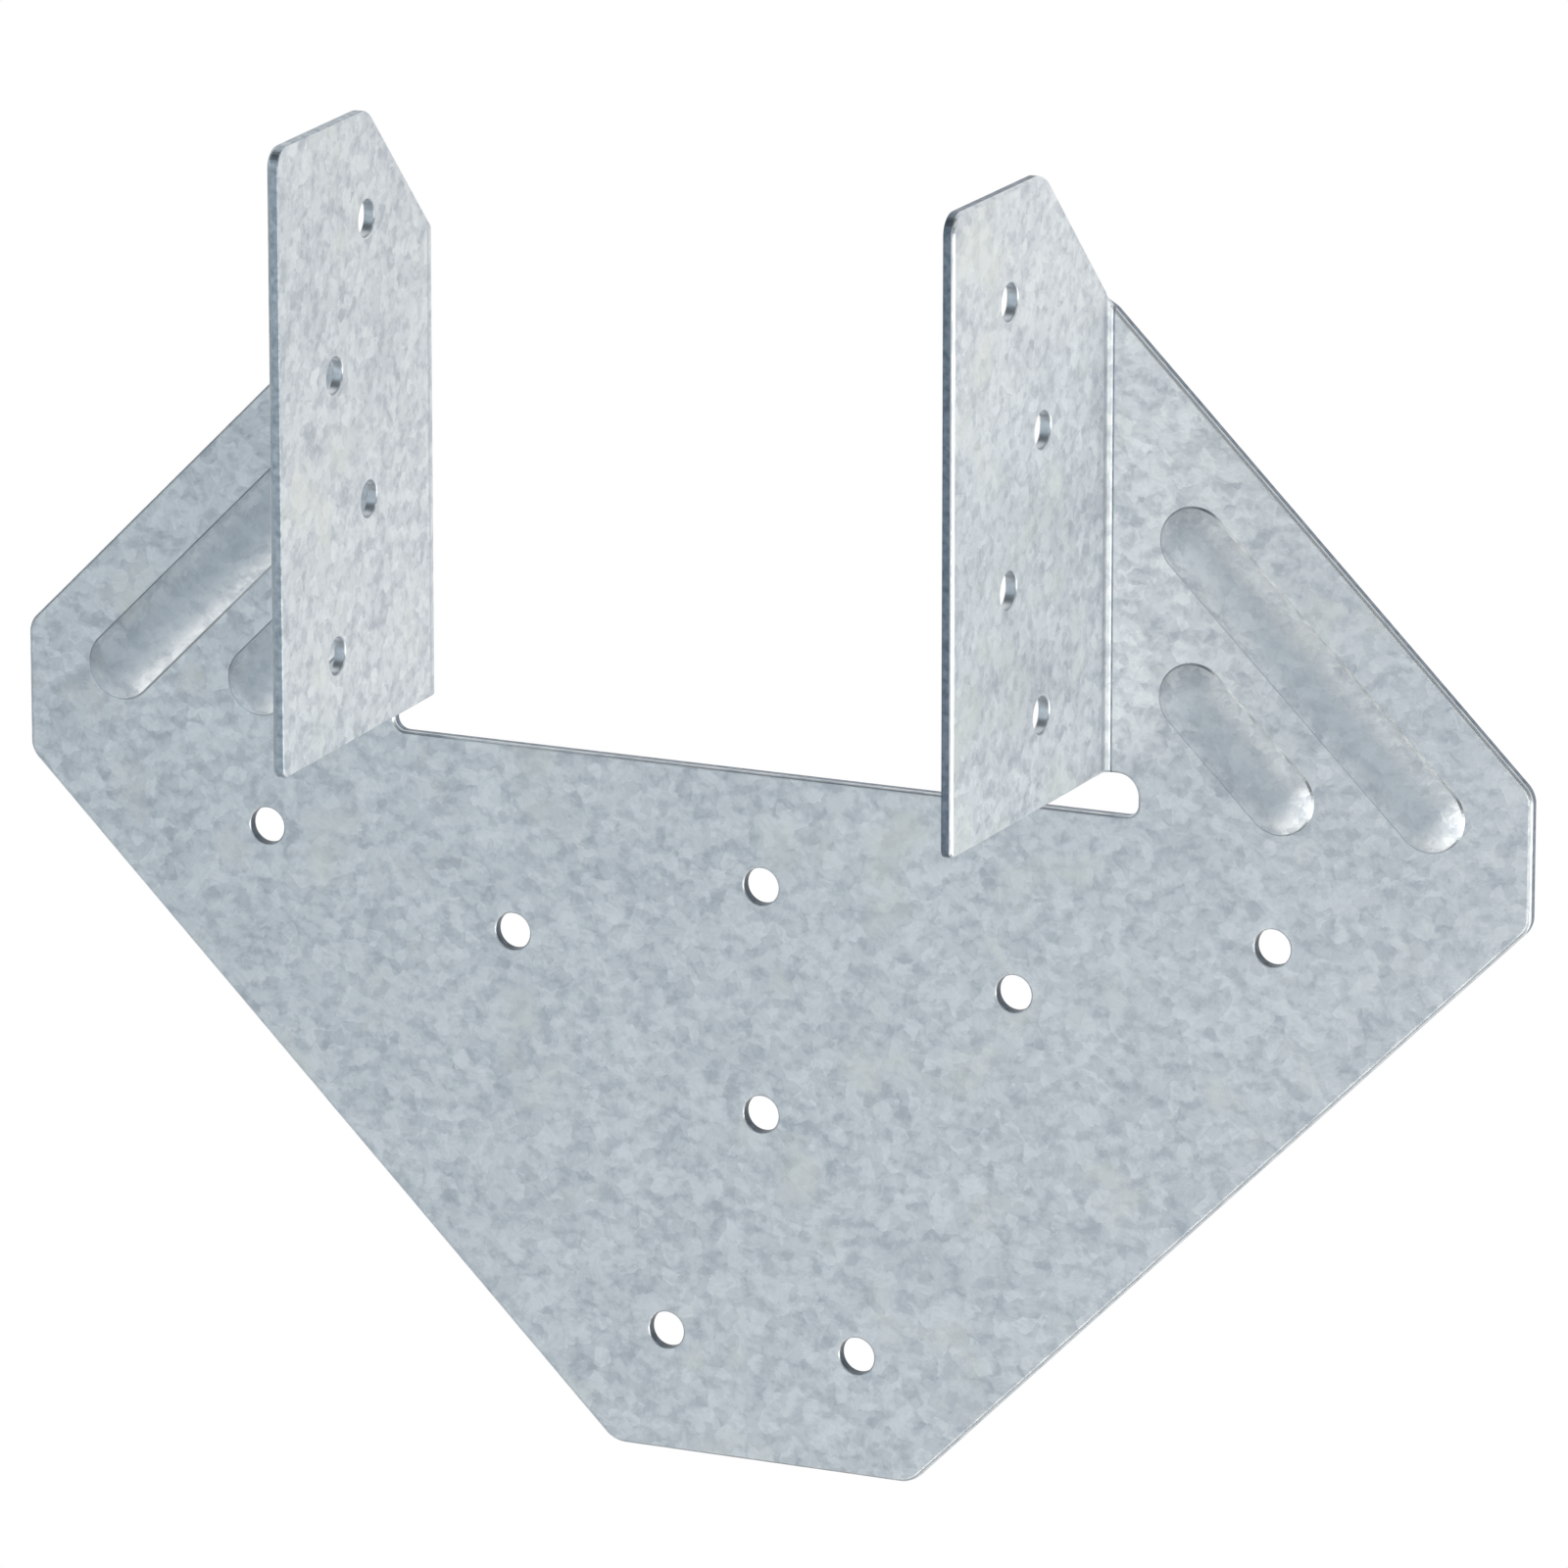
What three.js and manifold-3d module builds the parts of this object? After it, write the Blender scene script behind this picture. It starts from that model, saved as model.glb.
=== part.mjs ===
// Hip corner plate: one blank of galvanised sheet steel, punched, ribbed and folded.
//
// It lies on the corner of a wall's top plates, and the hip rafter stands between its two
// flanges. The blank is a square with its four corners cut off and a slit up the middle of its
// upper half. A flange is folded up on each side of the slit, and what is left is a pointed
// plate below and two wings beside the flanges.
//
// Millimetres, +Z up. The plate lies flat with its underside at z = 0, the flanges stand up,
// and +Y runs towards the upper end of the flanges. While it is built, y = 0 is the notch edge,
// where the plate ends between the wings. At the end the origin moves to the middle of the
// bounding box's floor.

import * as THREE from 'three';
import Module from 'manifold-3d';
import { mergeVertices } from 'three/addons/utils/BufferGeometryUtils.js';

// ---- driving dimensions ----

// sheet and folds
const sheet = 1.6;              // thickness of the steel
const bendRadius = 0.8;         // inside radius of both folds
const foldAngle = 88.6;         // degrees each flange is folded up, so that both lean in a little
const hipGap = 90.5;            // clear width half way up the flanges, for a 3 1/2 in hip

// outline of the plate and the wings
const plateWidth = 208.8;       // side edge to side edge
const sideEdge = 17.2;          // length of each straight side edge
const shoulder = 8.8;           // upper end of a side edge, above the notch edge
const plateDrop = 91.8;         // notch edge down to the bottom edge
const sideCorner = 3.0;         // radius of the four corners at the side edges
const bottomCorner = 3.5;       // radius of the two corners at the bottom edge

// relief slots at the foot of each flange
const reliefWidth = 5.4;        // notch edge up to the foot of the flange
const reliefReach = 3.5;        // how far a slot runs out past the fold
const reliefUpper = 2.8;        // radius of its upper outer corner
const reliefLower = 1.6;        // radius of its lower outer corner

// flanges
const flangeHeight = 47.1;      // underside of the plate up to the free edge
const flangeTop = 85.8;         // notch edge up to the upper end
const freeCorner = 2.6;         // radius where the free edge meets the upper end
const chamferCorner = 4.7;      // radius where the upper end meets the slanted cut
const footCorner = 1.0;         // radius where the free edge meets the foot

// nail holes
const holeWidth = 4.8;          // diameter of every hole
const outerPair = { inset: 34.3, drop: 14.8 };   // in from the side edges, below the notch edge
const innerPair = { inset: 13.2, drop: 24.9 };   // in from the fold lines, below the notch edge
const centreDrops = [14.9, 45.1];                // on the centre line, below the notch edge
const tipPair = { spacing: 26.8, rise: 16.1 };   // centre to centre, above the bottom edge
const flangeHoles = 4;          // in each flange, in two staggered columns
const flangeHoleFoot = 12.1;    // foot of the flange up to the lowest hole
const flangeHoleTop = 14.0;     // upper end of the flange down to the highest hole
const nearColumn = 21.2;        // in the blank, fold line to the column nearer the plate
const farColumn = 31.1;         // in the blank, fold line to the column nearer the free edge

// stiffening ribs pressed up out of each wing, along its slanted edge
const ribHeight = 1.1;          // crown of a rib above the wing
const ribWidth = 9.4;           // width of a rib where it leaves the wing
const ribInsets = [12.6, 26.8]; // slanted edge in to the middle of each rib
const ribStart = 11.0;          // fold line out to the centre of a rib's inner end
const ribEnd = 4.5;             // notch edge up to the centre of a rib's outer end

// fineness of the facets
const bendSteps = 6;            // facets round each fold
const holeSides = 24;
const ribSides = 60;            // facets round the whole circle that a rib is an arc of
const ribCapSteps = 15;       // facets from the crown of a rib's end down, a quarter circle
const cornerSteps = 4;          // facets round each outline corner, half of it

// ---- sizes that follow ----

const outerRadius = bendRadius + sheet;
const fullTurn = THREE.MathUtils.degToRad(foldAngle);
const lean = Math.cos(fullTurn);                        // how far a flange leans in per mm
const rise = Math.sin(fullTurn);                        // how far it rises per mm
const flangeFlat = (flangeHeight - outerRadius + bendRadius * lean) / rise;  // past the fold
const foldLength = (bendRadius + sheet / 2) * fullTurn; // blank used up by a fold
const foldLine = hipGap / 2 + outerRadius * rise + flangeFlat / 2 * lean;    // wing ends here
const freeEdge = foldLine - foldLength - flangeFlat;    // x of the free edge in the flat blank
const halfWidth = plateWidth / 2;
const bottomHalf = halfWidth - (plateDrop + shoulder - sideEdge);

// The slanted cut runs at 45 degrees across wing, fold and flange until it meets the flange's
// upper end. upperEdge is the blank's y at a place x.
const cutMeetsTop = shoulder + halfWidth - flangeTop;
const upperEdge = (x) => Math.min(shoulder + halfWidth - x, flangeTop);

// ---- helpers ----

const wasm = await Module();
wasm.setup();

// A closed geometry as a solid that can be cut and joined.
function solid(geometry) {
  const plain = geometry.clone();
  plain.deleteAttribute('normal');
  plain.deleteAttribute('uv');
  const merged = mergeVertices(plain, 1e-5);
  return new wasm.Manifold(new wasm.Mesh({
    numProp: 3,
    vertProperties: new Float32Array(merged.attributes.position.array),
    triVerts: new Uint32Array(merged.index.array),
  }));
}

// A solid back as a geometry.
function geometryOf(manifold) {
  const mesh = manifold.getMesh();
  const geometry = new THREE.BufferGeometry();
  geometry.setAttribute('position', new THREE.BufferAttribute(mesh.vertProperties, 3));
  geometry.setIndex(new THREE.BufferAttribute(mesh.triVerts, 1));
  const faceted = geometry.toNonIndexed();
  faceted.computeVertexNormals();
  return faceted;
}

// A closed outline through corners [x, y, radius]. A corner with no radius stays sharp.
function outline(corners) {
  const shape = new THREE.Shape();
  corners.forEach(([x, y, radius = 0], i) => {
    const corner = new THREE.Vector2(x, y);
    const before = corners[(i + corners.length - 1) % corners.length];
    const after = corners[(i + 1) % corners.length];
    const back = new THREE.Vector2(before[0], before[1]).sub(corner).normalize();
    const ahead = new THREE.Vector2(after[0], after[1]).sub(corner).normalize();
    const half = Math.acos(back.dot(ahead)) / 2;
    const run = radius / Math.tan(half);
    const start = corner.clone().addScaledVector(back, run);
    const end = corner.clone().addScaledVector(ahead, run);
    if (i === 0) shape.moveTo(start.x, start.y);
    else shape.lineTo(start.x, start.y);
    if (radius > 0) {
      const centre = back.clone().add(ahead).setLength(radius / Math.sin(half)).add(corner);
      const clockwise = back.cross(ahead) > 0;
      const startAngle = start.clone().sub(centre).angle();
      const endAngle = end.clone().sub(centre).angle();
      shape.absarc(centre.x, centre.y, radius, startAngle, endAngle, clockwise);
    }
  });
  shape.closePath();
  return shape;
}

// An outline as a piece of flat sheet, from z = 0 to the sheet's thickness.
function flatPiece(corners) {
  return new THREE.ExtrudeGeometry(outline(corners), {
    depth: sheet, bevelEnabled: false, steps: 1, curveSegments: cornerSteps,
  });
}

// Where a point of the right half of the blank goes when its flange is folded up: past is its
// distance beyond the fold line towards the centre line, level its height in the sheet.
function folded(past, level) {
  const turn = Math.min(past / foldLength, 1) * fullTurn;
  const reach = outerRadius - level;
  const straight = Math.max(0, past - foldLength);
  return {
    x: foldLine - reach * Math.sin(turn) - straight * lean,
    z: outerRadius - reach * Math.cos(turn) + straight * rise,
  };
}

// Folds a piece of the blank's right (side 1) or left (side -1) half.
function foldUp(geometry, side) {
  const points = geometry.attributes.position;
  const snap = (value, line) => (Math.abs(value - line) < 1e-3 ? line : value);
  for (let i = 0; i < points.count; i++) {
    const past = snap(snap(foldLine - side * points.getX(i), 0), foldLength);
    const { x, z } = folded(past, points.getZ(i));
    points.setX(i, side * x);
    points.setZ(i, z);
  }
  return geometry;
}

// ---- the blank, folded ----

// The plate with both wings. Its notch takes in the space between the flanges and the slots.
function plate() {
  const slotEnd = foldLine + reliefReach;
  const upper = Math.min(reliefUpper, reliefReach, reliefWidth);
  const lower = Math.min(reliefLower, reliefReach, reliefWidth - upper);
  const right = [
    [bottomHalf, -plateDrop, bottomCorner],
    [halfWidth, shoulder - sideEdge, sideCorner],
    [halfWidth, shoulder, sideCorner],
    ...(cutMeetsTop > foldLine ? [[cutMeetsTop, flangeTop]] : []),
    [foldLine, upperEdge(foldLine)],
    [foldLine, reliefWidth],
    [slotEnd, reliefWidth, upper],
    [slotEnd, 0, lower],
  ];
  const left = right.map(([x, y, radius]) => [-x, y, radius]).reverse();
  return flatPiece([...right, ...left]);
}

// The strip of one fold, from the foot of the flange to the slanted cut.
function fold(side) {
  const strip = new THREE.BoxGeometry(foldLength, 1, sheet, bendSteps, 1, 1);
  strip.translate(side * (foldLine - foldLength / 2), 0.5, sheet / 2);
  const points = strip.attributes.position;
  for (let i = 0; i < points.count; i++) {
    const step = Math.round((foldLine - side * points.getX(i)) / foldLength * bendSteps);
    const top = upperEdge(foldLine - foldLength * step / bendSteps);
    points.setY(i, points.getY(i) > 0.5 ? top : reliefWidth);
  }
  return foldUp(strip, side);
}

// A cutter for a nail hole through the flat blank.
function nailHole(x, y) {
  const pin = new THREE.CylinderGeometry(holeWidth / 2, holeWidth / 2, 4 * sheet, holeSides);
  return solid(pin.rotateX(Math.PI / 2).translate(x, y, sheet / 2));
}

// One flange above its fold, with its holes. The two flanges are staggered opposite ways.
function flange(side) {
  const root = foldLine - foldLength;
  const cut = Math.max(0, root - cutMeetsTop) * Math.SQRT2;   // length of the slanted cut here
  const corners = [
    [root, reliefWidth],
    [root, upperEdge(root)],
    ...(cut > 0 ? [[cutMeetsTop, flangeTop, Math.min(chamferCorner, 2 * cut)]] : []),
    [freeEdge, flangeTop, freeCorner],
    [freeEdge, reliefWidth, footCorner],
  ];
  let flat = solid(flatPiece(corners.map(([x, y, radius]) => [side * x, y, radius])));
  const lowest = reliefWidth + flangeHoleFoot;
  const pitch = (flangeTop - flangeHoleTop - lowest) / (flangeHoles - 1);
  for (let row = 0; row < flangeHoles; row++) {
    const far = (row % 2 === 0) === (side < 0);
    const x = foldLine - (far ? farColumn : nearColumn);
    flat = flat.subtract(nailHole(side * x, lowest + row * pitch));
  }
  return foldUp(geometryOf(flat), side);
}

// ---- ribs ----

// A rib's skin is part of a lying capsule whose centre is below the sheet. across is measured
// square to the slanted edge and along is measured along it, both from the middle of the notch
// edge.
const ribRadius = ((ribWidth / 2) ** 2 + ribHeight ** 2) / (2 * ribHeight);

function ribCapsule(side, inset, radius) {
  const across = (halfWidth + shoulder) / Math.SQRT2 - inset;
  const from = (foldLine + ribStart) * Math.SQRT2 - across;
  const to = across - ribEnd * Math.SQRT2;
  const along = (from + to) / 2;
  const capsule = new THREE.CapsuleGeometry(radius, to - from, ribCapSteps, ribSides);
  capsule.rotateZ(side * Math.PI / 4);
  return capsule.translate(side * (across + along) / Math.SQRT2,
    (across - along) / Math.SQRT2, sheet + ribHeight - ribRadius);
}

// ---- assembly ----

let bracket = solid(plate());
for (const side of [-1, 1]) {
  bracket = bracket.add(solid(fold(side))).add(solid(flange(side)));
}

// Ribs: the outer skin is added above the middle of the sheet, and the groove below it is
// taken away.
const aboveMiddle = new THREE.BoxGeometry(2 * plateWidth, 2 * plateWidth, plateWidth);
aboveMiddle.translate(0, 0, plateWidth / 2 + sheet / 2);
for (const side of [-1, 1]) {
  for (const inset of ribInsets) {
    const skin = solid(ribCapsule(side, inset, ribRadius)).intersect(solid(aboveMiddle));
    const groove = solid(ribCapsule(side, inset, ribRadius - sheet));
    bracket = bracket.add(skin).subtract(groove);
  }
}

// The plate's nail holes: two on the centre line, and one pair after another beside them.
const plateHoles = centreDrops.map((drop) => [0, -drop]);
for (const side of [-1, 1]) {
  plateHoles.push([side * (halfWidth - outerPair.inset), -outerPair.drop]);
  plateHoles.push([side * (foldLine - innerPair.inset), -innerPair.drop]);
  plateHoles.push([side * tipPair.spacing / 2, tipPair.rise - plateDrop]);
}
for (const [x, y] of plateHoles) bracket = bracket.subtract(nailHole(x, y));

const galvanised = new THREE.MeshStandardMaterial({
  color: 0xb9bec4, roughness: 0.42, metalness: 1.0,
});

const cornerPlate = new THREE.Mesh(geometryOf(bracket), galvanised);
cornerPlate.name = 'hip_corner_plate';
cornerPlate.position.y = (plateDrop - flangeTop) / 2;

const object = new THREE.Group();
object.add(cornerPlate);

export default object;
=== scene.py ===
# %% [markdown]
# # A galvanised hip corner plate
#
# The real part is one square of zinc-coated sheet steel. A press cuts its outline, punches its
# nail holes, presses four ribs into it and folds two flanges up. We make ours in that order:
# flat first, folded last. It lies on the corner of a wall, and a hip rafter stands between its
# flanges.
#
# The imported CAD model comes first. It gives the frame, and its box gives the outer sizes.

# %% Load the frame
import math

import bmesh
import bpy
from mathutils import Matrix, Vector


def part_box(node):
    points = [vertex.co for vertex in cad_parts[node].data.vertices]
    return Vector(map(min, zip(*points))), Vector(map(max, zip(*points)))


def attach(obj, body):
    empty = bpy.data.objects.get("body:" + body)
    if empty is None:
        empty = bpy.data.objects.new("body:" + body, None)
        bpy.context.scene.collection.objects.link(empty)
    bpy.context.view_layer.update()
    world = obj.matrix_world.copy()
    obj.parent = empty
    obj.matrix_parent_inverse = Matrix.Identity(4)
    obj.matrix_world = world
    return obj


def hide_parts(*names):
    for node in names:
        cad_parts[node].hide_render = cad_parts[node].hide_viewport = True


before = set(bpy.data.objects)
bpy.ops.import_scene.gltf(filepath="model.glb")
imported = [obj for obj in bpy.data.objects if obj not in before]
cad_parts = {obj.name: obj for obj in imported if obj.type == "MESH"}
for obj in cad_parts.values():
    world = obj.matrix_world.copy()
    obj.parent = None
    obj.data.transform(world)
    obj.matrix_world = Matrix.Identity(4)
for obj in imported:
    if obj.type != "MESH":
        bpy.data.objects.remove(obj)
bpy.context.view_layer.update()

NODE = "hip_corner_plate"
low, high = (corner * 1000 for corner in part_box(NODE))
print("frame box in mm:", [round(v, 1) for v in (*low, *high)])

# %% [markdown]
# ## Sizes
#
# The piece is modelled with one unit for a millimetre, because Blender's merge and bisect
# distances suit that size better, and it is scaled to metres once at the end. The outer sizes
# come from the frame. The others are the real part's own.

# %% Sizes in millimetres
sheet = 1.6
bend_radius = 0.8
fold_angle = math.radians(88.6)
hip_gap = 90.5

half_width = high.x
flange_top = 85.8
notch_edge = high.y - flange_top
plate_drop = notch_edge - low.y
flange_height = high.z
side_edge = 17.2
shoulder = 8.8

relief_width = 5.4
relief_reach = 3.5

outer_radius = bend_radius + sheet
flange_flat = (flange_height - outer_radius + bend_radius * math.cos(fold_angle)) / math.sin(fold_angle)
fold_length = (bend_radius + sheet / 2) * fold_angle
fold_line = hip_gap / 2 + outer_radius * math.sin(fold_angle) + flange_flat / 2 * math.cos(fold_angle)
free_edge = fold_line - fold_length - flange_flat
slot_end = fold_line + relief_reach
bottom_half = half_width - (plate_drop + shoulder - side_edge)
cut_meets_top = shoulder + half_width - flange_top
print("fold line", round(fold_line, 2), "free edge in the blank", round(free_edge, 2))

# %% [markdown]
# ## Helpers for edit mode
#
# An operator acts on whatever is selected, so each step first picks faces, edges or vertices by
# a test in code, as a person would click on them.

# %% Picking in edit mode
near = 0.01  # mm: places closer than this count as the same


def pick(kind, test):
    """Selects only the vertices, edges or faces of the edited mesh that pass the test."""
    bpy.ops.mesh.select_mode(type=kind)
    bpy.ops.mesh.select_all(action="DESELECT")
    mesh = bmesh.from_edit_mesh(bpy.context.object.data)
    items = {"VERT": mesh.verts, "EDGE": mesh.edges, "FACE": mesh.faces}[kind]
    chosen = [item for item in items if test(item)]
    for item in chosen:
        item.select_set(True)
    mesh.select_flush_mode()
    bmesh.update_edit_mesh(bpy.context.object.data)
    return len(chosen)


def cut(point, normal, clear=False, everywhere=True):
    """Cuts the mesh, or what is selected, with a plane. clear drops what the normal points at."""
    if everywhere:
        bpy.ops.mesh.select_all(action="SELECT")
    bpy.ops.mesh.bisect(plane_co=point, plane_no=normal, clear_outer=clear, threshold=0.001)


# %% [markdown]
# ## The blank
#
# A plane of the blank's size loses its four corners to slanted cuts. Two slots and a slit open
# the space between the flanges: lines are cut across and the faces between them are deleted.
# A limited dissolve then removes the lines that aren't needed, so one face is left, and each
# corner vertex is rounded by a vertex bevel.

# %% Cut the outline
bpy.ops.object.select_all(action="DESELECT")
bpy.ops.mesh.primitive_plane_add(size=1, location=(0, 0, 0))
plate = bpy.context.object
plate.name = "galvanised_corner_plate"
bpy.ops.object.mode_set(mode="EDIT")
bpy.ops.transform.resize(value=(2 * half_width, plate_drop + flange_top, 1))
bpy.ops.transform.translate(value=(0, (flange_top - plate_drop) / 2, 0))

for side in (-1, 1):
    cut((side * half_width, shoulder, 0), (side, 1, 0), clear=True)
    cut((side * half_width, shoulder - side_edge, 0), (side, -1, 0), clear=True)
    cut((side * free_edge, 0, 0), (1, 0, 0))
    cut((side * slot_end, 0, 0), (1, 0, 0))
cut((0, 0, 0), (0, 1, 0))
cut((0, relief_width, 0), (0, 1, 0))


def in_gap(face):
    """True for what the slots and the slit take away."""
    x, y, _ = face.calc_center_median()
    return (abs(x) < slot_end and 0 < y < relief_width) or (abs(x) < free_edge and y > relief_width)


pick("FACE", in_gap)
bpy.ops.mesh.delete(type="FACE")
bpy.ops.mesh.select_all(action="SELECT")
bpy.ops.mesh.dissolve_limited(angle_limit=math.radians(1))

# %% Round the corners
# x, y, radius and the angle inside, for the corners of the right half; the left ones mirror them
corners = [
    (bottom_half, -plate_drop, 3.5, 135),
    (half_width, shoulder - side_edge, 3.0, 135),
    (half_width, shoulder, 3.0, 135),
    (cut_meets_top, flange_top, 4.7, 135),
    (free_edge, flange_top, 2.6, 90),
    (free_edge, relief_width, 1.0, 90),
    (slot_end, relief_width, 2.8, 90),
    (slot_end, 0, 1.6, 90),
]
for x, y, radius, inside in corners:
    found = pick("VERT", lambda v: abs(abs(v.co.x) - x) < near and abs(v.co.y - y) < near)
    run = radius / math.tan(math.radians(inside / 2))
    bpy.ops.mesh.bevel(offset=run, affect="VERTICES", segments=10, profile=0.5)
    print("rounded", found, "corners to", radius, "mm")

# %% [markdown]
# ## Lines for the folds
#
# A flat stretch needs no lines, but a fold can only bend where it has them. Each fold gets
# twelve evenly spaced strips. The first line, at the foot of the fold, also parts the flange from
# the plate, so the others can be kept to the flange. Lines that ran on across the plate would
# only make its shading worse.

# %% Cut the lines
fold_steps = 12


def on_flange(face):
    """True for a face that is folded up."""
    return all(abs(v.co.x) < fold_line + near and v.co.y > relief_width / 2 for v in face.verts)


for side in (-1, 1):
    cut((side * fold_line, 0, 0), (1, 0, 0))
    for step in range(1, fold_steps + 1):
        pick("FACE", on_flange)
        place = side * (fold_line - fold_length * step / fold_steps)
        cut((place, 0, 0), (1, 0, 0), everywhere=False)
print("flange faces", pick("FACE", on_flange))

# %% [markdown]
# ## Thickness
#
# Solidify gives the sheet its gauge. Extruding the blank upwards would do as well, but with
# Solidify the gauge is one number, and the walls come out with their normals right.

# %% Give the sheet its gauge
bpy.ops.mesh.select_all(action="SELECT")
bpy.ops.mesh.normals_make_consistent(inside=False)
bpy.ops.object.mode_set(mode="OBJECT")


def apply_modifier(piece, kind, **settings):
    """Adds a modifier with its settings and applies it."""
    modifier = piece.modifiers.new(kind.lower(), kind)
    for name, value in settings.items():
        setattr(modifier, name, value)
    bpy.context.view_layer.objects.active = piece
    bpy.ops.object.modifier_apply(modifier=modifier.name)


facing = plate.data.polygons[0].normal.z
apply_modifier(plate, "SOLIDIFY", thickness=sheet, offset=1 if facing > 0 else -1)
print("thickness", [round(c, 3) for c in plate.dimensions])

# %% [markdown]
# ## Rolled cut edges
#
# A sheared edge is never razor sharp. The blade first pulls the zinc over the edge in a round,
# then cuts, and the last of the steel tears off. So the upper edge is rolled over widely and
# the lower one only a little. A bevel does both. It comes before the holes and ribs, while the
# blank still has nothing but its outline, because their Booleans add edges that would notch it.

# %% Roll the outline over
upper_roll, lower_roll = 0.5, 0.2
upright, lying = 0.1, 0.9  # how far a wall's or a flat face's normal points up, at most and at least


def at_outline(edge, level):
    """True for an edge between a cut wall and the face of the sheet at that level."""
    if any(abs(v.co.z - level) > near for v in edge.verts):
        return False
    slopes = sorted(abs(face.normal.z) for face in edge.link_faces)
    return slopes[0] < upright and slopes[1] > lying


bpy.ops.object.mode_set(mode="EDIT")
for level, roll in ((sheet, upper_roll), (0, lower_roll)):
    print("outline edges", pick("EDGE", lambda edge: at_outline(edge, level)))
    bpy.ops.mesh.bevel(offset=roll, segments=4, profile=0.5, affect="EDGES", clamp_overlap=False)
bpy.ops.object.mode_set(mode="OBJECT")

# %% [markdown]
# ## Nail holes
#
# The holes are punched by a Boolean with pins, all made from one cylinder that is copied, each
# where a nail goes. They could also be circles drawn in the blank. A Boolean is closer to the
# real punch, and it leaves clean rims that a small bevel can roll over.

# %% Where the nails go
hole_width = 4.8
flange_rows = 4
near_column, far_column = 21.2, 31.1  # from the fold line, along the flat flange
lowest_hole = relief_width + 12.1
highest_hole = flange_top - 14.0

# two on the centre line, three pairs in the plate, and four staggered ones in each flange
holes = [(0, -14.9), (0, -45.1)]
for side in (-1, 1):
    holes.append((side * (half_width - 34.3), -14.8))
    holes.append((side * (fold_line - 13.2), -24.9))
    holes.append((side * 13.4, 16.1 - plate_drop))
    for row in range(flange_rows):
        column = far_column if (row % 2 == 0) == (side < 0) else near_column
        height = lowest_hole + (highest_hole - lowest_hole) * row / (flange_rows - 1)
        holes.append((side * (fold_line - column), height))

# %% Punch them
bpy.ops.object.select_all(action="DESELECT")
bpy.ops.mesh.primitive_cylinder_add(
    vertices=56, radius=hole_width / 2, depth=4 * sheet, location=(0, 0, sheet / 2)
)
pins = bpy.context.object
bpy.ops.object.transform_apply(location=True, rotation=True, scale=True)
bpy.ops.object.mode_set(mode="EDIT")
bpy.ops.mesh.select_all(action="SELECT")
bpy.ops.transform.translate(value=(*holes[0], 0))
for before, after in zip(holes, holes[1:]):
    bpy.ops.mesh.duplicate()
    bpy.ops.transform.translate(value=(after[0] - before[0], after[1] - before[1], 0))
bpy.ops.object.mode_set(mode="OBJECT")
apply_modifier(plate, "BOOLEAN", operation="DIFFERENCE", solver="EXACT", object=pins)
bpy.data.objects.remove(pins)
print("dark_bore_painted_shade", len(holes), "holes")

# %% Roll their rims over
rim_roll = 0.24


def at_rim(edge):
    """True for an edge of a hole at either face of the sheet."""
    ends = [v.co for v in edge.verts]
    if not any(all(abs(p.z - face) < near for p in ends) for face in (0, sheet)):
        return False
    radius = hole_width / 2
    return any(all(abs(math.hypot(p.x - x, p.y - y) - radius) < near for p in ends) for x, y in holes)


bpy.context.view_layer.objects.active = plate
bpy.ops.object.mode_set(mode="EDIT")
print("rim edges", pick("EDGE", at_rim))
bpy.ops.mesh.bevel(offset=rim_roll, segments=4, profile=0.5, affect="EDGES", clamp_overlap=False)
bpy.ops.object.mode_set(mode="OBJECT")

# %% [markdown]
# ## Pressed ribs
#
# The press pushes the sheet up from below, so a rib is a low bulge above and a groove below. The
# edge of the die leaves a small steep step all round the bulge, and on the real part this step
# catches the light as one thin bright line.
#
# A rib could be sculpted by lifting the vertices of a fine grid, but a square grid can't follow
# the rounded ends, so the step would look torn. Ours is drawn as half of its cross-section. It is
# extruded along the rib, spun round its end, extruded back and spun again. Such a bulge joins
# the plate, and a lower one is taken from it.

# %% Sizes of a rib
rib_height = 1.1
rib_width = 9.4
rib_insets = (12.6, 26.8)
rib_start = 11.0
rib_end = 4.5
step_height, step_run = 0.28, 0.26
below_surface = 1.4  # the tool's wall goes on down by this many steps, so that it cuts the face
crown_height = rib_height - step_height
crown_half = rib_width / 2 - step_run
crown_radius = (crown_half**2 + crown_height**2) / (2 * crown_height)
step_slope = math.degrees(math.atan2(step_height, step_run))
print("crown radius", round(crown_radius, 2), "step slope", round(step_slope))


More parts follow.
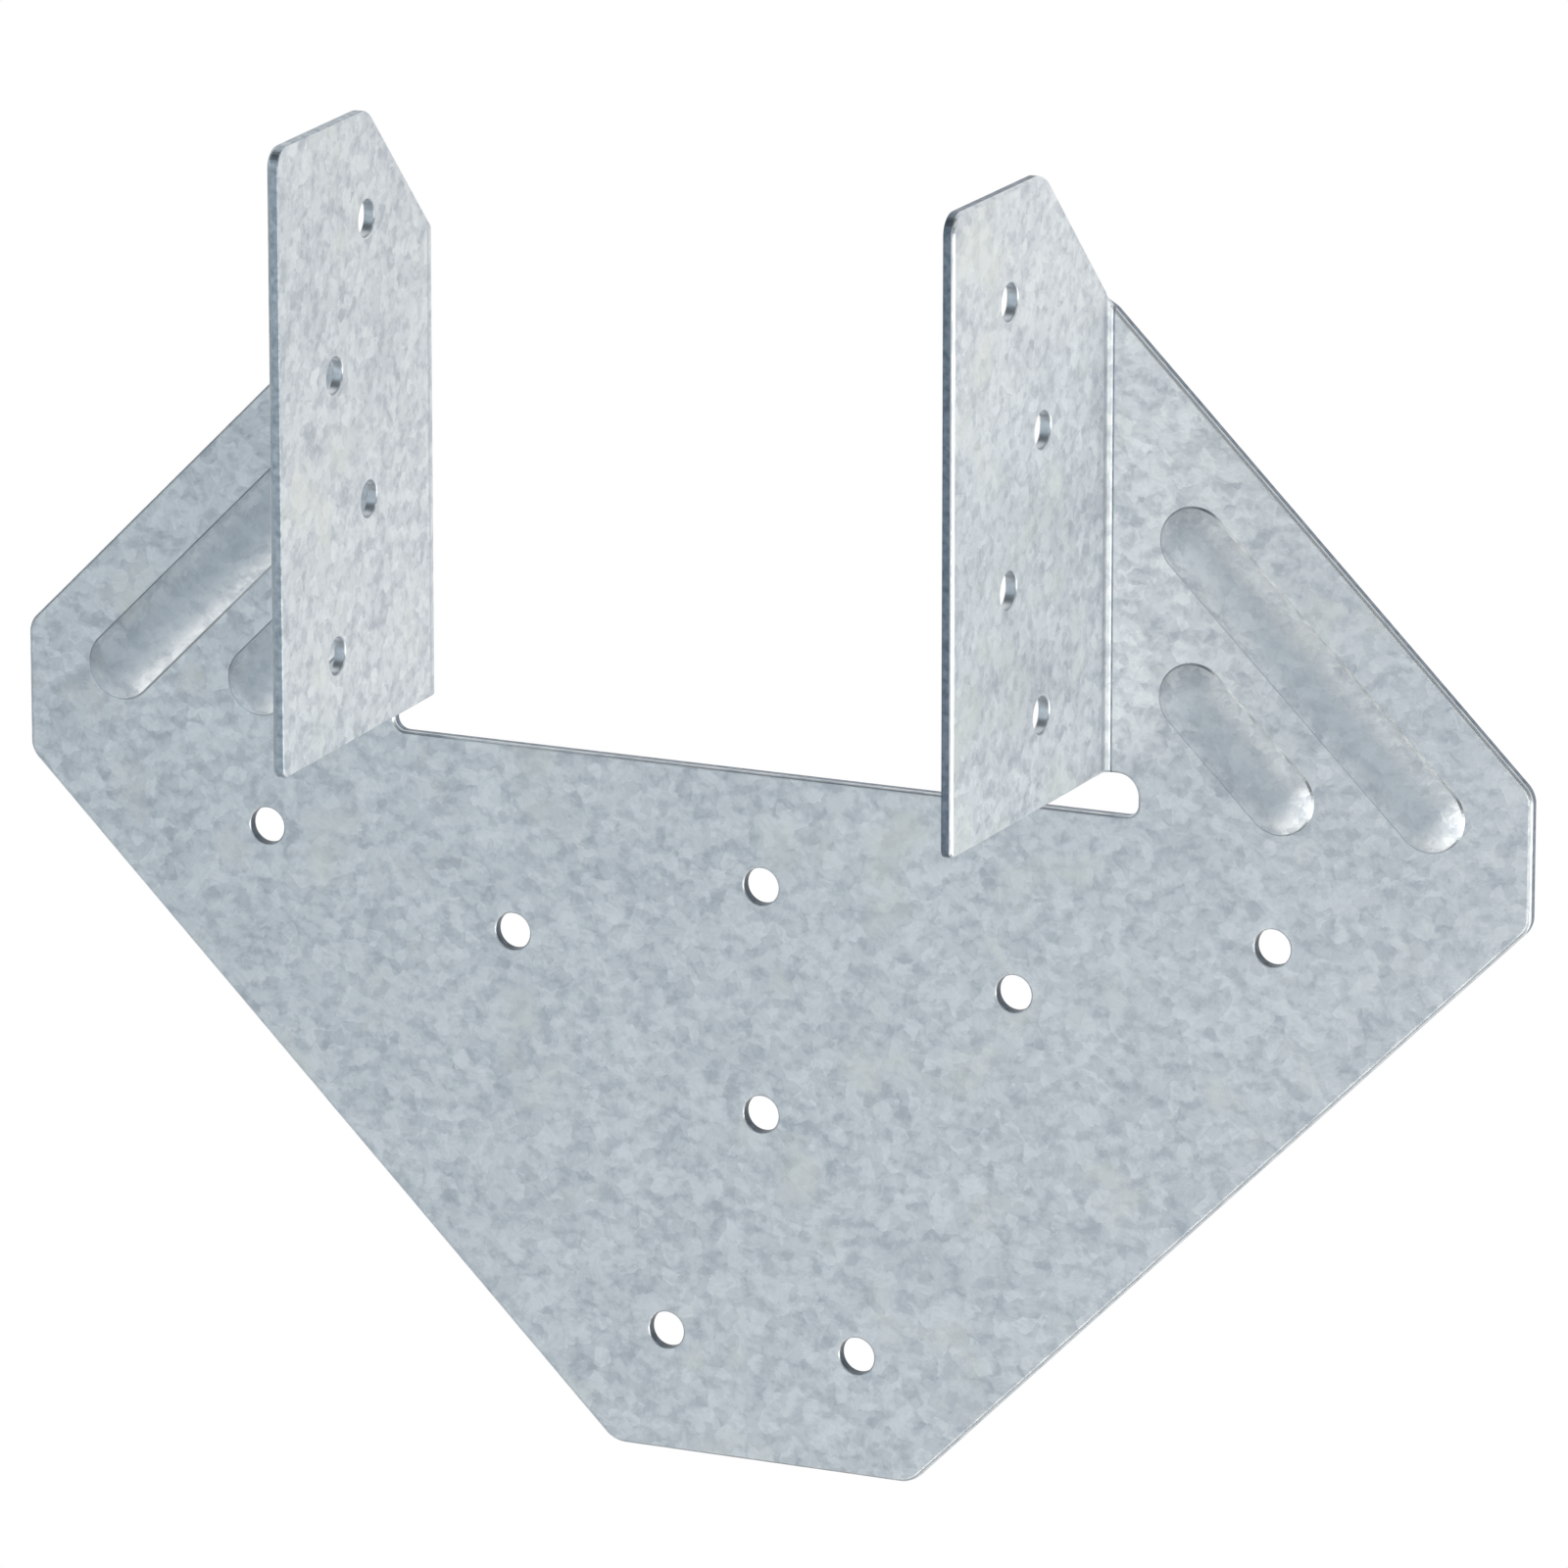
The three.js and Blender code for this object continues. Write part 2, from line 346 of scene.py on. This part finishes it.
# %% Draw half of a section and take it round
def rib_tool(length, top, radius):
    """A closed bulge that lies along X from the origin, with its crown at the height top."""
    bpy.ops.object.select_all(action="DESELECT")
    bpy.ops.mesh.primitive_plane_add(size=1, location=(0, 0, 0))
    bpy.ops.object.mode_set(mode="EDIT")
    bpy.ops.mesh.select_mode(type="VERT")
    bpy.ops.mesh.select_all(action="SELECT")
    bpy.ops.mesh.merge(type="CENTER")
    bpy.ops.transform.translate(value=(0, 0, top))
    slope = math.acos(1 - crown_height / radius)
    bpy.ops.mesh.spin(steps=9, angle=slope, center=(0, 0, top - radius), axis=(1, 0, 0))
    past = 1 + below_surface
    step_down = {"value": (0, past * step_run, -past * step_height)}
    bpy.ops.mesh.extrude_vertices_move(TRANSFORM_OT_translate=step_down)
    bpy.ops.mesh.select_all(action="SELECT")
    for end, travel in ((length, length), (0, -length)):
        bpy.ops.mesh.extrude_region_move(TRANSFORM_OT_translate={"value": (travel, 0, 0)})
        bpy.ops.mesh.spin(steps=28, angle=math.pi, center=(end, 0, 0), axis=(0, 0, 1))
    bpy.ops.mesh.select_all(action="SELECT")
    bpy.ops.mesh.remove_doubles(threshold=0.001)
    pick("EDGE", lambda edge: len(edge.link_faces) == 1)
    bpy.ops.mesh.edge_face_add()
    bpy.ops.mesh.select_all(action="SELECT")
    bpy.ops.mesh.normals_make_consistent(inside=False)
    bpy.ops.object.mode_set(mode="OBJECT")
    return bpy.context.object


# %% Press them
ROOT2 = math.sqrt(2)


def press(tool, operation, across, start):
    """Joins a rib's bulge to both wings, or cuts its groove out of them."""
    for side in (-1, 1):
        tool.location = (side * (across + start) / ROOT2, (across - start) / ROOT2, 0)
        tool.rotation_euler.z = -math.pi / 2 + side * math.pi / 4
        apply_modifier(plate, "BOOLEAN", operation=operation, solver="EXACT", object=tool)
    bpy.data.objects.remove(tool)


for inset in rib_insets:
    across = (half_width + shoulder) / ROOT2 - inset
    start = (fold_line + rib_start) * ROOT2 - across
    length = across - rib_end * ROOT2 - start
    press(rib_tool(length, sheet + rib_height, crown_radius), "UNION", across, start)
    press(rib_tool(length, rib_height, crown_radius - sheet), "DIFFERENCE", across, start)
    print("ribs of", round(length + rib_width, 1), "mm, plate now", len(plate.data.polygons), "faces")

# %% [markdown]
# ## A finish for each tool mark
#
# The flat faces keep their coating, the blade leaves bare steel, and the punch and the die rub
# the zinc smooth. Each face could be picked by hand. Here its slope and its place say which tool
# made it, and that is easiest while the sheet is still flat. The first strips of each fold also
# get the dark cut-steel finish, as painted shade in the crease.

# %% Tell the finishes apart
ZINC, SHEARED, BURNISHED, PUNCHED = range(4)
crease_shade_part = 2.5 / fold_steps  # the first strips of a fold, given the dark cut-steel finish as painted shade in the crease


def finish_of(face):
    """The material slot of a face of the flat sheet, by its slope and by where it lies."""
    corners = [plate.data.vertices[i].co for i in face.vertices]
    reach = hole_width / 2 + rim_roll + near
    in_hole = any(all(math.hypot(p.x - x, p.y - y) < reach for p in corners) for x, y in holes)
    folded_up = min(p.y for p in corners) > relief_width / 2 and abs(face.center.x) < fold_line
    in_crease_shade = folded_up and abs(face.center.x) > fold_line - fold_length * crease_shade_part
    slope = abs(face.normal.z)
    if in_hole:
        return BURNISHED if folded_up or slope > 0.5 else PUNCHED
    torn = slope < lying and face.center.z < lower_roll
    # the crease strips take the dark cut-steel finish as painted shade
    if in_crease_shade or slope < upright or torn:
        return SHEARED
    return BURNISHED if slope < lying else ZINC


plate.data.materials.clear()
for slot in (ZINC, SHEARED, BURNISHED, PUNCHED):
    plate.data.materials.append(None)
for face in plate.data.polygons:
    face.material_index = finish_of(face)
counts = [sum(f.material_index == slot for f in plate.data.polygons) for slot in range(4)]
print("faces of each finish", counts)

# %% [markdown]
# ## Folding
#
# Whatever lies past a fold line goes round the fold and then straight on. A vertex keeps its
# depth in the sheet, so both faces stay parallel. The brake closed a little past square, and
# the two flanges lean in by about a degree.

# %% Fold the flanges up
for vertex in plate.data.vertices:
    past = fold_line - abs(vertex.co.x)
    if past > 0 and vertex.co.y > relief_width / 2:
        side = math.copysign(1, vertex.co.x)
        turn = min(past / fold_length, 1) * fold_angle
        reach = outer_radius - vertex.co.z
        straight = max(0, past - fold_length)
        vertex.co.x = side * (fold_line - reach * math.sin(turn) - straight * math.cos(fold_angle))
        vertex.co.z = outer_radius - reach * math.cos(turn) + straight * math.sin(fold_angle)

# %% Move it into the frame, in metres
plate.data.transform(Matrix.Scale(0.001, 4) @ Matrix.Translation((0, notch_edge, 0)))
bpy.ops.object.mode_set(mode="EDIT")
bpy.ops.mesh.select_all(action="SELECT")
bpy.ops.mesh.normals_make_consistent(inside=False)
bpy.ops.object.mode_set(mode="OBJECT")
sharpest_smooth = math.radians(35)
bpy.ops.object.shade_smooth_by_angle(angle=sharpest_smooth)
apply_modifier(plate, "WEIGHTED_NORMAL", keep_sharp=True, weight=80)
print("plate", [round(c * 1000, 2) for c in plate.dimensions], len(plate.data.polygons), "faces")

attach(plate, "root")
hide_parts(NODE)

# %% [markdown]
# ## Helpers for materials
#
# Colours are written as on a screen, in sRGB, and shaders want them linear, so one function
# turns them. One more adds a node with its settings and links: a tree built by hand in the
# editor would look the same, but here it can be read from top to bottom.

# %% Colour and node helpers
def colour(code):
    """A hex sRGB colour as linear RGBA."""
    parts = [int(code[i : i + 2], 16) / 255 for i in (1, 3, 5)]
    return (*(p / 12.92 if p <= 0.04045 else ((p + 0.055) / 1.055) ** 2.4 for p in parts), 1)


def node(tree, kind, inputs=None, **settings):
    """Adds a node, sets its properties and its inputs, and links the inputs that are sockets."""
    made = tree.nodes.new("ShaderNode" + kind)
    for name, value in settings.items():
        setattr(made, name, value)
    for name, value in (inputs or {}).items():
        if isinstance(value, bpy.types.NodeSocket):
            tree.links.new(value, made.inputs[name])
        else:
            made.inputs[name].default_value = value
    return made


def new_material(name):
    """A material with only an output, and its node tree."""
    material = bpy.data.materials.new(name)
    material.use_nodes = True
    material.node_tree.nodes.clear()
    return material, material.node_tree


# %% [markdown]
# ## Hot-dip galvanised sheet
#
# The sheet is drawn through molten zinc, which freezes on it as small flat crystals. To the eye
# that is a soft blue-grey metal with a low sheen, mottled at about 2 mm, where each crystal has
# a tone and fern-like streaks of its own, and the last zinc to freeze sinks into darker dimples.
# An image would show this too, but nodes stay sharp close up and have no seams at the folds.
# Minimised spangle is 0.5 to 2 mm across; it is drawn at the coarse end, so that it shows.
# A little of the shine is taken off with Metallic 0.7: zinc carbonate dulls the surface soon.

# %% Zinc coating: where its crystals lie
zinc, tree = new_material("hot_dip_galvanised_zinc")
coords = node(tree, "TexCoord")
place, outward = coords.outputs["Object"], coords.outputs["Normal"]
per_mm = 1000  # a scale of per_mm / 2 makes features of about 2 mm

ragged = node(
    tree, "TexNoise", {"Vector": place, "Scale": per_mm / 1.2, "Detail": 2.0}
).outputs["Color"]
bent = node(
    tree, "VectorMath", {0: ragged, 1: (0.001,) * 3, 2: place}, operation="MULTIPLY_ADD"
).outputs["Vector"]
crystals = node(tree, "TexVoronoi", {"Vector": bent, "Scale": per_mm / 2.0}).outputs["Color"]
chance = node(tree, "SeparateColor", {"Color": crystals})

# %% Zinc coating: the fern-like streaks inside a crystal
turn = node(
    tree, "MapRange", {"Value": chance.outputs["Green"], "To Max": 2 * math.pi}
).outputs["Result"]
turned = node(
    tree,
    "VectorRotate",
    {"Vector": place, "Axis": outward, "Angle": turn},
    rotation_type="AXIS_ANGLE",
).outputs["Vector"]
drawn_out = node(
    tree, "VectorMath", {0: turned, 1: (1.0, 0.35, 1.0)}, operation="MULTIPLY"
).outputs["Vector"]
streaks = node(
    tree, "TexNoise", {"Vector": drawn_out, "Scale": per_mm / 0.5, "Detail": 3.0, "Roughness": 0.6}
).outputs["Fac"]

# %% Zinc coating: dimples where it froze last, and clouds
dimpled = node(
    tree, "VectorMath", {0: bent, 1: (0.75, 1.0, 1.0)}, operation="MULTIPLY"
).outputs["Vector"]
dimples = node(
    tree, "TexNoise", {"Vector": dimpled, "Scale": per_mm / 1.8, "Detail": 4.0, "Roughness": 0.55}
).outputs["Fac"]
ground = node(
    tree,
    "MapRange",
    {"Value": dimples, "From Min": 0.36, "From Max": 0.56},
    interpolation_type="SMOOTHSTEP",
).outputs["Result"]
clouds = node(
    tree, "TexNoise", {"Vector": place, "Scale": per_mm / 8.0, "Detail": 3.0, "Roughness": 0.6}
).outputs["Fac"]
fine = node(tree, "Mix", {"Factor": 0.62, 2: chance.outputs["Red"], 3: streaks}).outputs[0]
mottle = node(tree, "Mix", {"Factor": 0.26, 2: fine, 3: ground}).outputs[0]
mottle = node(tree, "Mix", {"Factor": 0.25, 2: mottle, 3: clouds}).outputs[0]

# %% Zinc coating: tone, gloss and relief
tint = node(tree, "ValToRGB", {"Fac": mottle})
tint.color_ramp.elements[0].position = 0.25
tint.color_ramp.elements[0].color = colour("#b1b9c1")
tint.color_ramp.elements[1].position = 0.75
tint.color_ramp.elements[1].color = colour("#dfe4e7")
patches = node(
    tree, "TexNoise", {"Vector": place, "Scale": per_mm / 13.0, "Detail": 4.0, "Roughness": 0.6}
).outputs["Fac"]
weathered = node(
    tree, "MapRange", {"Value": patches, "From Min": 0.56, "From Max": 0.68, "To Max": 0.5}
).outputs["Result"]
base = node(
    tree, "Mix", {"Factor": weathered, 6: tint.outputs["Color"], 7: colour("#d9ddd8")}, data_type="RGBA"
).outputs[2]
# painted shade: the ribs' backs are coloured a little darker to stand in for their shade; they lie
# between 2.2 and 3.2 mm up, and no other face does but the feet of the flanges
height = node(tree, "SeparateXYZ", {"Vector": place}).outputs["Z"]
crown_shade_ramp = node(
    tree, "MapRange", {"Value": height, "From Min": 0.0022, "From Max": 0.0027, "To Max": 0.55}
).outputs["Result"]
above = node(
    tree, "MapRange", {"Value": height, "From Min": 0.0032, "From Max": 0.0028, "To Max": 1.0}
).outputs["Result"]
rub_noise_and_crown_shade = node(tree, "Math", {0: crown_shade_ramp, 1: above}, operation="MULTIPLY").outputs["Value"]
# painted shade: the ribs' backs are mixed toward the darker #a7b2bb
base = node(
    tree, "Mix", {"Factor": rub_noise_and_crown_shade, 6: base, 7: colour("#a7b2bb")}, data_type="RGBA"
).outputs[2]
rough = node(
    tree,
    "MapRange",
    {"Value": mottle, "From Min": 0.3, "From Max": 0.7, "To Min": 0.5, "To Max": 0.42},
).outputs["Result"]
bump = node(
    tree, "Bump", {"Height": dimples, "Strength": 0.6, "Distance": 0.00015}
).outputs["Normal"]
shader = node(
    tree,
    "BsdfPrincipled",
    {"Base Color": base, "Metallic": 0.7, "Roughness": rough, "Normal": bump},
)
node(tree, "OutputMaterial", {"Surface": shader.outputs["BSDF"]})

# %% [markdown]
# ## Sheared steel
#
# A blade cuts through the zinc, so the wall shows bare steel: darker and bluer than the coating,
# and scored by the tool. The scores are 0.1 mm wide on a real wall; they are drawn at 0.9 mm,
# which is as fine as shows. The left flange's wall is painted lighter than the others, as painted
# light: a lighter ramp is mixed in there by place.

# %% Cut walls
sheared, tree = new_material("sheared_steel_edge")
place = node(tree, "TexCoord").outputs["Object"]
scores = node(
    tree, "TexNoise", {"Vector": place, "Scale": per_mm / 0.9, "Detail": 3.0}
).outputs["Fac"]
where = node(tree, "SeparateXYZ", {"Vector": place})
leftwards = node(
    tree, "MapRange", {"Value": where.outputs["X"], "From Min": -0.03, "From Max": -0.04}
).outputs["Result"]
upwards = node(
    tree, "MapRange", {"Value": where.outputs["Z"], "From Min": 0.004, "From Max": 0.008}
).outputs["Result"]
on_left_flange = node(tree, "Math", {0: leftwards, 1: upwards}, operation="MULTIPLY").outputs["Value"]
# painted light: the lighter ramp used on the left flange's wall
lit_wall_tint = node(tree, "ValToRGB", {"Fac": scores})
lit_wall_tint.color_ramp.elements[0].position = 0.3
lit_wall_tint.color_ramp.elements[0].color = colour("#8f9ba5")
lit_wall_tint.color_ramp.elements[1].position = 0.7
lit_wall_tint.color_ramp.elements[1].color = colour("#bcc5cb")
torn = node(tree, "ValToRGB", {"Fac": scores})
torn.color_ramp.elements[0].position = 0.3
torn.color_ramp.elements[0].color = colour("#65707c")
torn.color_ramp.elements[1].position = 0.7
torn.color_ramp.elements[1].color = colour("#8b95a0")
base = node(
    tree,
    "Mix",
    {"Factor": on_left_flange, 6: torn.outputs["Color"], 7: lit_wall_tint.outputs["Color"]},
    data_type="RGBA",
).outputs[2]
shader = node(
    tree, "BsdfPrincipled", {"Base Color": base, "Metallic": 1.0, "Roughness": 0.42}
)
node(tree, "OutputMaterial", {"Surface": shader.outputs["BSDF"]})

# %% [markdown]
# ## Burnished zinc
#
# Where a punch or a die has rubbed the coating, it is smeared smooth. To the eye that is the
# same zinc without its mottling, lighter and glossier, so that it draws bright lines along the
# ribs' steps and the rolled edges. It could be a lower roughness painted by hand. A finish of
# its own, given by slope and place, keeps it exactly where the tool touches.

# %% Rims, rib steps and folds
burnished, tree = new_material("burnished_zinc")
place = node(tree, "TexCoord").outputs["Object"]
rub_noise_and_crown_shade = node(
    tree, "TexNoise", {"Vector": place, "Scale": per_mm / 2.0, "Detail": 3.0}
).outputs["Fac"]
tint = node(tree, "ValToRGB", {"Fac": rub_noise_and_crown_shade})
tint.color_ramp.elements[0].position = 0.3
tint.color_ramp.elements[0].color = colour("#bcc4ca")
tint.color_ramp.elements[1].position = 0.7
tint.color_ramp.elements[1].color = colour("#dde2e5")
rough = node(
    tree,
    "MapRange",
    {"Value": rub_noise_and_crown_shade, "From Min": 0.3, "From Max": 0.7, "To Min": 0.4, "To Max": 0.32},
).outputs["Result"]
shader = node(
    tree, "BsdfPrincipled", {"Base Color": tint.outputs["Color"], "Metallic": 0.95, "Roughness": rough}
)
node(tree, "OutputMaterial", {"Surface": shader.outputs["BSDF"]})

# %% [markdown]
# ## Punched bores
#
# The wall of a punched hole is torn steel, and little light reaches it. To the eye it is a thin
# dark crescent at one side of the hole. It could share the finish of the cut walls, but its colour
# is torn steel painted darker still, as painted shade. Its scores are as coarse as those of the cut
# walls.

# %% Bores of the plate's holes
dark_bore_painted_shade, tree = new_material("punched_bore_painted_shade")
place = node(tree, "TexCoord").outputs["Object"]
scores = node(
    tree, "TexNoise", {"Vector": place, "Scale": per_mm / 0.9, "Detail": 3.0}
).outputs["Fac"]
# torn steel painted darker still, as painted shade inside the holes
tint = node(tree, "ValToRGB", {"Fac": scores})
tint.color_ramp.elements[0].position = 0.3
tint.color_ramp.elements[0].color = colour("#3c454e")
tint.color_ramp.elements[1].position = 0.7
tint.color_ramp.elements[1].color = colour("#5b656f")
shader = node(
    tree, "BsdfPrincipled", {"Base Color": tint.outputs["Color"], "Metallic": 1.0, "Roughness": 0.4}
)
node(tree, "OutputMaterial", {"Surface": shader.outputs["BSDF"]})

finishes = ((ZINC, zinc), (SHEARED, sheared), (BURNISHED, burnished), (PUNCHED, dark_bore_painted_shade))
for slot, finish in finishes:
    plate.data.materials[slot] = finish

# %% [markdown]
# ## Studio
#
# A plain white floor 25 cm below, which shines evenly as a light table does, and soft boxes all
# round. Metal shows what it mirrors, so each box stands where one of the part's faces looks:
# over the plate, beside each flange, behind the rolled edges. Boxes on the right and in front
# are a little warm. Those on the left, above and behind are cool, as in daylight from a window.

# %% Floor
bpy.ops.object.select_all(action="DESELECT")
bpy.ops.mesh.primitive_plane_add(size=8, location=(0, 0, -0.25))
floor = bpy.context.object
floor.name = "studio_floor"
white, tree = new_material("white_floor")
shader = node(tree, "Emission", {"Color": (1, 1, 1, 1), "Strength": 1.0})
node(tree, "OutputMaterial", {"Surface": shader.outputs["Emission"]})
floor.data.materials.append(white)

# %% Lights
def area_light(name, tint, toward, distance, size, power):
    """A soft light that stands in a direction from the part and faces it."""
    data = bpy.data.lights.new(name, "AREA")
    data.shape = "RECTANGLE"
    data.size, data.size_y = size
    data.energy = power
    data.color = tint
    light = bpy.data.objects.new(name, data)
    bpy.context.scene.collection.objects.link(light)
    direction = Vector(toward).normalized()
    light.location = direction * distance
    light.rotation_mode = "QUATERNION"
    light.rotation_quaternion = (-direction).to_track_quat("-Z", "Y")
    return light


warm, cool = (1.0, 0.97, 0.93), (0.82, 0.92, 1.0)
area_light("high_right_softbox", warm, (0.43, -0.26, 0.86), 1.2, (0.7, 0.7), 6.4)
area_light("low_right_softbox", warm, (1.0, -0.45, 0.13), 1.2, (1.0, 0.6), 6.7)
area_light("front_softbox", warm, (0.04, -0.75, 0.65), 1.1, (0.7, 0.5), 2.5)
area_light("overhead_softbox", cool, (-0.4, -0.26, 0.88), 1.2, (0.7, 0.7), 1.22)
area_light("left_softbox", cool, (-0.6, 0.3, 0.74), 1.2, (0.7, 0.7), 1.65)
area_light("back_softbox", cool, (0.1, 0.35, 0.93), 1.2, (0.6, 0.6), 0.8)
area_light("left_front_softbox", cool, (-0.74, -0.6, 0.31), 1.2, (0.8, 0.5), 1.3)
area_light("rear_lamp", warm, (0.56, 0.69, 0.46), 1.3, (0.2, 0.2), 1.05)

world = bpy.data.worlds.new("studio")
bpy.context.scene.world = world
world.use_nodes = True
world.node_tree.nodes.clear()
sky = node(world.node_tree, "Background", {"Color": (0.87, 0.94, 1.0, 1), "Strength": 0.12})
node(world.node_tree, "OutputWorld", {"Surface": sky.outputs["Background"]})
bpy.context.scene.view_settings.view_transform = "Standard"

# %% [markdown]
# ## Camera
#
# It looks down steeply from the right and a little from the flanges' far end, through a long
# lens, so that upright edges hardly converge. It is built from two angles and a distance. A
# camera placed by eye would do too, but these numbers can be read and changed one by one.

# %% Camera
azimuth, elevation = math.radians(33.386), math.radians(61.578)
aim = Vector((0.0025, 0.0015, 0))
distance = 1.5855
back = Vector(
    (
        math.cos(azimuth) * math.cos(elevation),
        math.sin(azimuth) * math.cos(elevation),
        math.sin(elevation),
    )
)
up = (Vector((0, 1, 0)) - back * back.y).normalized()
camera_data = bpy.data.cameras.new("camera")
camera_data.lens = 287.1
camera_data.sensor_width = 36
camera_data.clip_start, camera_data.clip_end = 0.05, 50
camera = bpy.data.objects.new("camera", camera_data)
bpy.context.scene.collection.objects.link(camera)
camera.matrix_world = Matrix.Translation(aim + back * distance) @ Matrix(
    (up.cross(back), up, back)
).transposed().to_4x4()
bpy.context.scene.camera = camera
